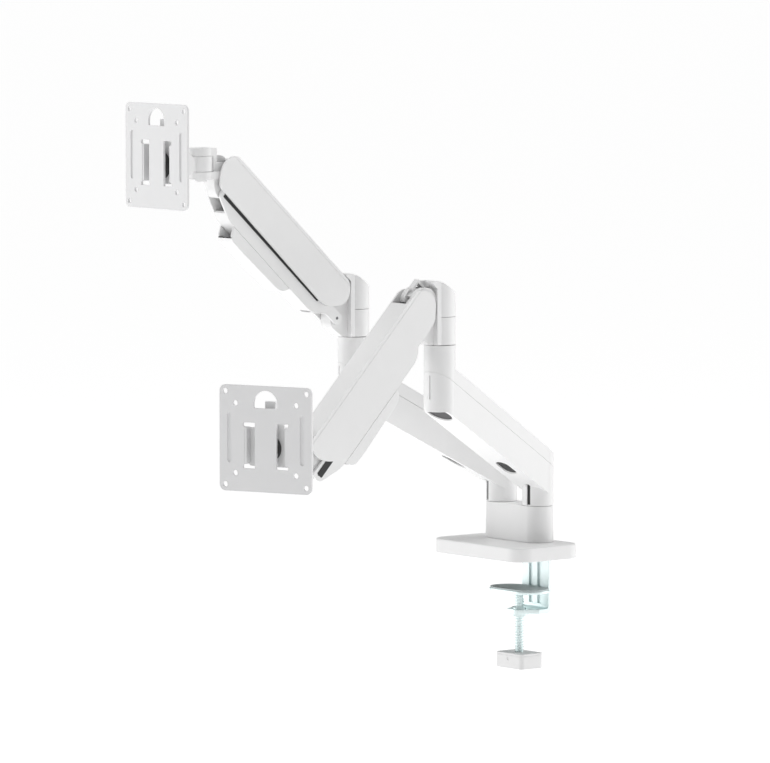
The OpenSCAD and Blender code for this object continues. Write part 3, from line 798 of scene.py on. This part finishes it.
# ---------------------------------------------------------------- heads and screen plates
class ARM_OT_heads(bpy.types.Operator):
    """Head brackets, swivel knuckles and tilt brackets"""
    bl_idname = "monitor_arm.heads"
    bl_label = "Heads"

    def execute(self, context):
        for side in "rl":
            places = arm_frames(side)
            to_head = places["head"].inverted()
            axis = to_head @ joint_at(f"{side}_swivel") / MM
            x, z = axis.x, axis.z
            lug = upright("lug", [(-7, -4, 3), (-5, 6, 3), (0, 8, 3), (16, 8, 1), (16, -22, 6),
                                  (10, -31, 5), (-2, -31, 5), (-6, -24, 4)], 17)
            low_fork = drum("fork", 13, 8.2, (x, 0, z - 12.7), sides=72)
            top_fork = drum("fork", 13, 8.4, (x, 0, z + 12.9), sides=72)
            add(lug, low_fork, box("arm", (10, -12, z - 16.8), (x, 12, z - 8.6)), top_fork,
                box("arm", (15, -12, z + 8.7), (x, 12, z + 17.1)),
                box("spine", (12.4, -8.5, z - 16.2), (18.4, 8.5, z + 15.8)))
            cut(lug, drum("gap", 13.4, 17.3, (x, 0, z + 0.05)),
                drum("bore", 4, 60, (x, 0, z - 13.7)),
                drum("pin", 4, 40, (0, 0, 0), "y", 40),
                drum("pin", 3.5, 40, to_head @ (joint_at(f"{side}_link_swing")
                     + joint_at(f"{side}_head_level") - joint_at(f"{side}_lift")) / MM, "y", 40))
            soften(lug, 0.9, 3, 36)
            finish(lug, f"{side}_head_bracket_cast", places["head"], f"{side}_head",
                   [f"{side}_head_bracket"], FINISH["white_paint"])

            reach = (joint_at(f"{side}_tilt") - joint_at(f"{side}_swivel")).length / MM
            knuckle = drum("knuckle", 13, 16.6, (0, 0, 0.1), sides=72)
            add(knuckle, box("neck", (0, -7, -8.2), (reach - 9, 7, 8.4)),
                drum("eye", 11, 14, (reach, 0, 0), "y", 64))
            cut(knuckle, drum("bore", 4, 60, (0, 0, 0)), drum("bore", 4.05, 60, (reach, 0, 0), "y"))
            soften(knuckle, 0.8, 3, 36)
            finish(knuckle, f"{side}_swivel_knuckle_cast", places["swivel"], f"{side}_knuckle",
                   [f"{side}_swivel_knuckle"], FINISH["white_paint"])

            face = reach + places["reach_plate"]
            bracket = facing("tilt", [(-11.3, -9, 2), (11.3, -9, 2), (11.3, 11, 2), (6, 13, 1),
                                      (-6, 13, 1), (-11.3, 11, 2)], 5.4, reach + 14.3)
            strip = facing("strip", [(-6, 0, 0), (6, 0, 0), (6, 40, 2), (-6, 40, 2)], 6, face - 14)
            add(bracket, strip)
            for sign in (-1, 1):
                add(bracket, drum("ear", 13, 4, (reach, sign * 9.3, 0), "y", 72),
                    box("ear", (reach, sign * 9.3 - 2, -9), (reach + 15, sign * 9.3 + 2, 11)))
            rest = facing("rest", [
                (-26, -20, 4), (26, -20, 4), (26, 21.5, 2), (18, 21.5, 1), (18, 26.5, 2),
                (-18, 26.5, 2), (-18, 21.5, 1), (-26, 21.5, 2)], 2.1, face - 10.05)
            add(bracket, drum("boss", 14.5, 6, (face - 14, 0, 0), "x", 72), rest)
            cut(bracket, drum("bore", 4, 60, (reach, 0, 0), "y", 40),
                drum("bore", 5.05, 20, (face - 9, 0, 0), "x", 40))
            soften(bracket, 0.7, 3, 36)
            finish(bracket, f"{side}_tilt_bracket_cast", places["swivel"], f"{side}_tilt",
                   [f"{side}_tilt_bracket"], FINISH["white_paint"])
        return {"FINISHED"}


class ARM_OT_plates(bpy.types.Operator):
    """Pressed screen plates"""
    bl_idname = "monitor_arm.plates"
    bl_label = "Screen plates"

    def execute(self, context):
        sizes = context.scene.arm_sizes
        low, high = (Vector(c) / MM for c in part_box("l_vesa_plate"))
        edge = (high.z - low.z) / 2
        thick, lift, window = 2.6, PLATE_LIFT, -7.5
        for side in "rl":
            places = arm_frames(side)
            plate = facing("plate", [(-edge, -edge, 7), (edge, -edge, 7), (edge, edge, 7),
                                     (-edge, edge, 7)], thick, -thick / 2)
            holes = [(i * h / 2, j * h / 2) for h in (100, 75) for i in (-1, 1) for j in (-1, 1)]
            for y, z in holes:
                cut(plate, drum("hole", sizes.hole / 2, 20, (0, y, z), "x", 40))
            eye = drum("eye", 14.8, 20, (0, 0, 37), "x", 72)
            slice_off(eye, (0, 0, 33), (0, 0, -1))
            cut(plate, eye)
            for sign in (-1, 1):
                opening = facing("window", [
                    (13.3, window - 24.5, 0.6), (27.9, window - 24.5, 0.6),
                    (27.9, window - 20.5, 0.6), (26.1, window - 20.5, 0.3),
                    (26.1, window + 20.5, 0.3), (27.9, window + 20.5, 0.6),
                    (27.9, window + 24.5, 0.6), (13.3, window + 24.5, 0.6)], 20)
                if sign < 0:
                    lay(opening, Matrix.Rotation(math.pi, 4, "X"))
                    lay(opening, Matrix.Translation((0, 0, 2 * window * MM)))
                cut(plate, opening)
                flap = upright("flap", [(-8, window - 20, 2), (-0.4, window - 20, 0.6),
                                        (-0.4, window + 20, 0.6), (-8, window + 20, 2)], thick,
                               sign * 24.9)
                add(plate, flap)
                rib = facing("rib", [
                    (sign * 45 - 3.4, -27, 3.4), (sign * 45 + 3.4, -27, 3.4),
                    (sign * 45 + 3.4, 28, 3.4), (sign * 45 - 3.4, 28, 3.4)], 3, 0.1)
                take(rib)
                bpy.ops.object.mode_set(mode="EDIT")
                pick(rib, lambda f: f.normal.x < -0.9, "faces")
                bpy.ops.transform.resize(value=(1, 0.6, 0.96),
                                         center_override=(0, sign * 45 * MM, 0.5 * MM))
                bpy.ops.object.mode_set(mode="OBJECT")
                cut(plate, rib)
            soften(plate, 0.35, 2, 40)
            lay(plate, Matrix.Translation((0, 0, lift * MM)))
            finish(plate, f"{side}_screen_plate_pressed", places["plate"], f"{side}_plate",
                   [f"{side}_vesa_plate"], FINISH["grey_paint"])
        return {"FINISHED"}


PLATE_LIFT = 10.0        # the plate's middle above its turning axis, mm


class ARM_OT_small_parts(bpy.types.Operator):
    """Finishes for the pins, bushes, springs and pads that keep their frame shape"""
    bl_idname = "monitor_arm.small_parts"
    bl_label = "Small parts"

    def execute(self, context):
        slots = {s["node"]: s["material_slot"] for s in frame["record"]["subparts"]}
        for name, obj in NODES.items():
            material = FINISH[slots[name]]
            obj.data.materials.clear()
            obj.data.materials.append(material)
        return {"FINISHED"}


# ---------------------------------------------------------------- stage
class ARM_OT_stage(bpy.types.Operator):
    """Floor, lamps, sky and camera"""
    bl_idname = "monitor_arm.stage"
    bl_label = "Stage"

    def execute(self, context):
        look = context.scene.arm_look
        scene = context.scene
        select_none()
        bpy.ops.mesh.primitive_plane_add(size=300, location=(0, 0, -0.45))
        floor = bpy.context.object
        floor.name = "floor"
        paint = Paint("floor_white")
        floor.data.materials.append(paint.done((0.7, 0.7, 0.7), 0.9, glow=0.77))

        world = bpy.data.worlds.new("tent")
        world.use_nodes = True
        tent = world.node_tree.nodes["Background"]
        tent.inputs["Color"].default_value = (1, 1, 1, 1)
        tent.inputs["Strength"].default_value = 0.3
        scene.world = world

        def lamp(name, at, aim, size, power):
            data = bpy.data.lights.new(name, "AREA")
            data.shape = "RECTANGLE"
            data.size, data.size_y = size
            data.energy = power * look.lamp
            obj = bpy.data.objects.new(name, data)
            scene.collection.objects.link(obj)
            obj.location = at
            obj.rotation_euler = (Vector(aim) - Vector(at)).to_track_quat("-Z", "Y").to_euler()

        middle = (0, -0.2, 0.2)
        lamp("right", (1.22, 2.54, 0.9), middle, (2.4, 2.4), 37)
        lamp("left", (-2.43, -1.96, 0.9), middle, (2.4, 2.4), 34)
        lamp("top", (0, -0.2, 3.2), middle, (2.4, 2.4), 56)

        target = Vector((0.0150, -0.1853, 0.2049))
        azimuth, elevation, distance = math.radians(51.12), math.radians(4.87), 7.27
        back = Vector((math.sin(azimuth) * math.cos(elevation),
                       -math.cos(azimuth) * math.cos(elevation), math.sin(elevation)))
        eye = bpy.data.cameras.new("camera")
        eye.lens = 310.4
        eye.sensor_width = 36
        eye.clip_end = 100
        camera = bpy.data.objects.new("camera", eye)
        scene.collection.objects.link(camera)
        camera.location = target + back * distance
        camera.rotation_euler = (-back).to_track_quat("-Z", "Y").to_euler()
        scene.camera = camera
        scene.view_settings.view_transform = "Standard"
        scene.view_settings.look = "None"
        return {"FINISHED"}


class ARM_PT_panel(bpy.types.Panel):
    """The arm's steps and sizes"""
    bl_idname = "ARM_PT_panel"
    bl_label = "Monitor arm"
    bl_space_type = "VIEW_3D"
    bl_region_type = "UI"
    bl_category = "Monitor arm"

    def draw(self, context):
        for group in (context.scene.arm_base, context.scene.arm_sizes, context.scene.arm_look):
            box_layout = self.layout.box()
            for name in group.__annotations__:
                box_layout.prop(group, name)
        for step in STEPS:
            self.layout.operator(step.bl_idname)


STEPS = (ARM_OT_small_parts, ARM_OT_base, ARM_OT_clamp, ARM_OT_lower_arms, ARM_OT_elbows,
         ARM_OT_upper_arms, ARM_OT_heads, ARM_OT_plates, ARM_OT_stage)
GROUPS = {"arm_base": BaseSizes, "arm_sizes": ArmSizes, "arm_look": Look}


def register():
    for name, group in GROUPS.items():
        bpy.utils.register_class(group)
        setattr(bpy.types.Scene, name, bpy.props.PointerProperty(type=group))
    for item in (*STEPS, ARM_PT_panel):
        bpy.utils.register_class(item)


def unregister():
    for item in reversed((*STEPS, ARM_PT_panel)):
        bpy.utils.unregister_class(item)
    for name, group in reversed(GROUPS.items()):
        delattr(bpy.types.Scene, name)
        bpy.utils.unregister_class(group)


def main():
    register()
    mix_finishes(bpy.context.scene.arm_look)
    for step in STEPS:
        family, name = step.bl_idname.split(".")
        getattr(getattr(bpy.ops, family), name)()


if __name__ == "__main__":
    main()
